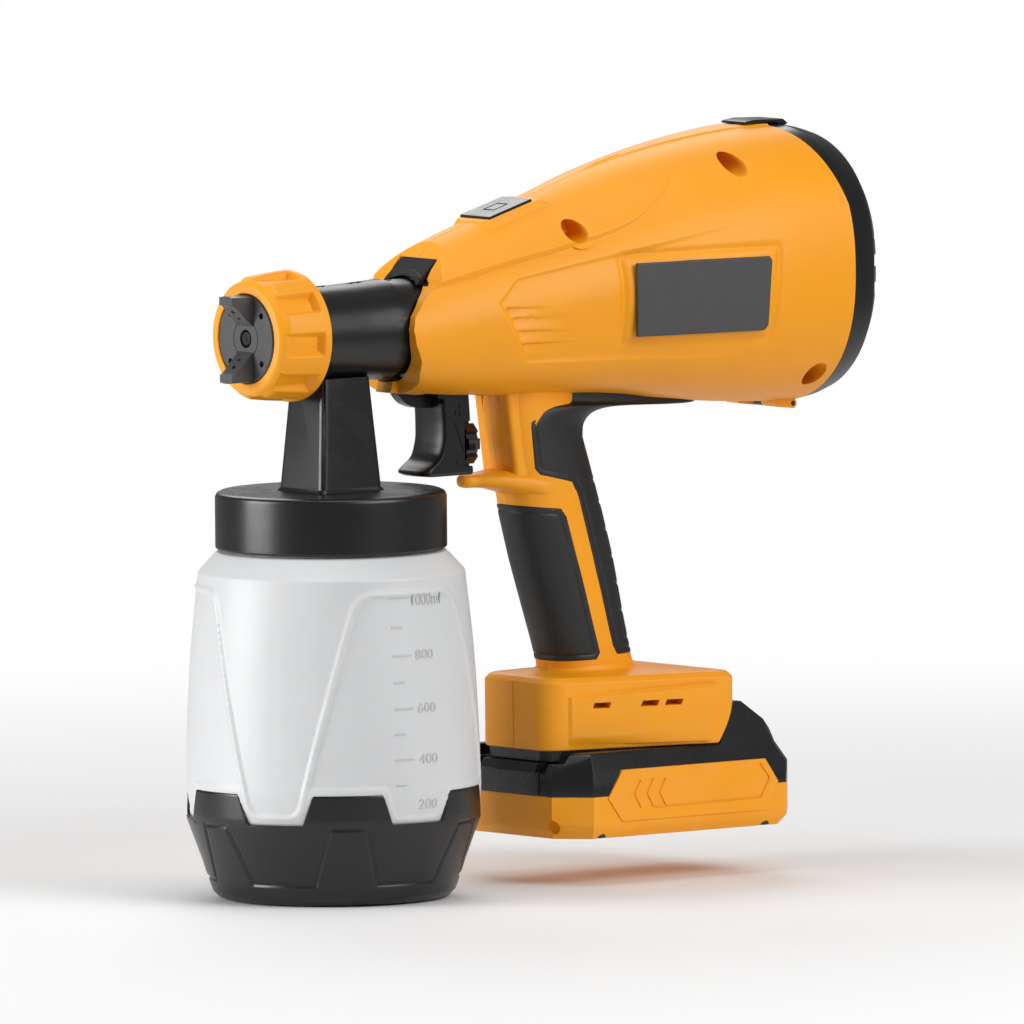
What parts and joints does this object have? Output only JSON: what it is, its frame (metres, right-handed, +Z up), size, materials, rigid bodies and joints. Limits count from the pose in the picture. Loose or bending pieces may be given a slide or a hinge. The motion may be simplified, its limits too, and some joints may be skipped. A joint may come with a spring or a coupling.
{
  "type": "cordless paint sprayer",
  "caption": "Cordless turbine paint sprayer with a screw-on translucent cup, twist-off spray head, sprung trigger and slide-on battery.",
  "frame": {"origin": "centre of the flat face under the cup", "axes": "+Z up along the cup's axis, -X the way the nozzle points, -Y the gun's left side"},
  "size_m": [0.3021, 0.1184, 0.3005],
  "materials": {
    "bottle": "translucent milky",
    "black_plastic": "satin",
    "soft_grip": "matte",
    "orange_shell": "satin gloss",
    "badge_plate": "satin",
    "steel": "plain",
    "brass": "plain",
    "clear_tube": "translucent",
    "grey_plastic": "plain",
    "motor_can": "plain",
    "foam": "open foam",
    "circuit_board": "plain",
    "cell_wrap": "plain"
  },
  "bodies": {
    "gun_body": {"housing_left": "orange_shell", "housing_right": "orange_shell", "front_grip": "soft_grip", "rear_grip": "soft_grip", "side_badge": "badge_plate", "housing_screws": "steel", "cover_pin": "steel", "head_socket": "black_plastic", "lock_spring": "steel", "trigger_pin": "steel", "trigger_spring": "steel", "power_switch": "grey_plastic", "air_duct": "grey_plastic", "turbine_housing": "grey_plastic", "motor": "motor_can", "motor_mount": "soft_grip", "filter_frame": "black_plastic", "air_filter": "foam", "control_board": "circuit_board", "battery_rail": "black_plastic", "terminal_block": "brass"},
    "spray_head": {"spray_barrel": "black_plastic", "screw_lid": "black_plastic", "lid_gasket": "soft_grip", "pickup_tube": "clear_tube", "fluid_nozzle": "black_plastic", "packing_nut": "brass", "needle_spring": "steel"},
    "needle": {"needle": "steel"},
    "cap_ring": {"cap_ring": "orange_shell"},
    "air_cap": {"air_cap": "black_plastic"},
    "cup": {"cup": "bottle", "cup_boot": "black_plastic"},
    "lock_button": {"lock_button": "black_plastic"},
    "trigger": {"trigger": "black_plastic", "wheel_spindle": "steel"},
    "flow_wheel": {"flow_wheel": "black_plastic"},
    "switch_plunger": {"switch_plunger": "grey_plastic"},
    "fan": {"fan_impeller": "grey_plastic", "motor_shaft": "steel"},
    "rear_cover": {"rear_cover": "black_plastic", "cover_latch": "black_plastic"},
    "battery": {"battery_base": "orange_shell", "battery_top": "black_plastic", "battery_cells": "cell_wrap", "battery_contacts": "brass", "battery_screws": "steel", "battery_spring": "steel"},
    "battery_button": {"battery_button": "black_plastic"}
  },
  "joints": [
    {"name": "head_twist", "type": "hinge", "parent": "gun_body", "child": "spray_head", "pos_m": [0, 0, 0.226], "axis": [1, 0, 0], "range_deg": [0, 40]},
    {"name": "cup_unscrew", "type": "hinge", "parent": "spray_head", "child": "cup", "pos_m": [0, 0, 0.1], "axis": [0, 0, 1], "range_deg": [0, 450]},
    {"name": "ring_unscrew", "type": "hinge", "parent": "spray_head", "child": "cap_ring", "pos_m": [-0.03, 0, 0.226], "axis": [1, 0, 0], "range_deg": [0, 540]},
    {"name": "air_cap_turn", "type": "hinge", "parent": "spray_head", "child": "air_cap", "pos_m": [-0.04, 0, 0.226], "axis": [1, 0, 0], "range_deg": [0, 90]},
    {"name": "needle_slide", "type": "slide", "parent": "spray_head", "child": "needle", "axis": [1, 0, 0], "range_m": [0, 0.0026], "deforming": ["needle_spring"]},
    {"name": "trigger_pull", "type": "hinge", "parent": "gun_body", "child": "trigger", "pos_m": [0.05, 0, 0.2474], "axis": [0, -1, 0], "range_deg": [0, 6.5], "stiffness_Nm_per_rad": 0.8, "springref_deg": -14.32, "deforming": ["trigger_spring"]},
    {"name": "flow_wheel_turn", "type": "hinge", "parent": "trigger", "child": "flow_wheel", "pos_m": [0.066, 0, 0.178], "axis": [1, 0, 0], "range_deg": [0, 270]},
    {"name": "switch_press", "type": "slide", "parent": "gun_body", "child": "switch_plunger", "axis": [1, 0, 0], "range_m": [0, 0.0052]},
    {"name": "fan_spin", "type": "hinge", "parent": "gun_body", "child": "fan", "pos_m": [0.2, 0, 0.238], "axis": [1, 0, 0], "continuous": true},
    {"name": "cover_swing", "type": "hinge", "parent": "gun_body", "child": "rear_cover", "pos_m": [0.225, 0, 0.1856], "axis": [0, 1, 0], "range_deg": [0, 75]},
    {"name": "lock_press", "type": "slide", "parent": "gun_body", "child": "lock_button", "axis": [0.2756, 0, -0.9613], "range_m": [0, 0.0025], "stiffness_N_per_m": 800, "springref_m": -0.002, "deforming": ["lock_spring"]},
    {"name": "battery_slide", "type": "slide", "parent": "gun_body", "child": "battery", "axis": [1, 0, 0], "range_m": [0, 0.09]},
    {"name": "battery_release", "type": "slide", "parent": "battery", "child": "battery_button", "axis": [-0.6225, 0, -0.7826], "range_m": [0, 0.0025], "stiffness_N_per_m": 800, "springref_m": -0.002, "deforming": ["battery_spring"]}
  ],
  "couplings": [
    {"joint": "needle_slide", "follows": "trigger_pull", "m_per_rad": 0.0214},
    {"joint": "switch_press", "follows": "trigger_pull", "m_per_rad": 0.0434}
  ]
}
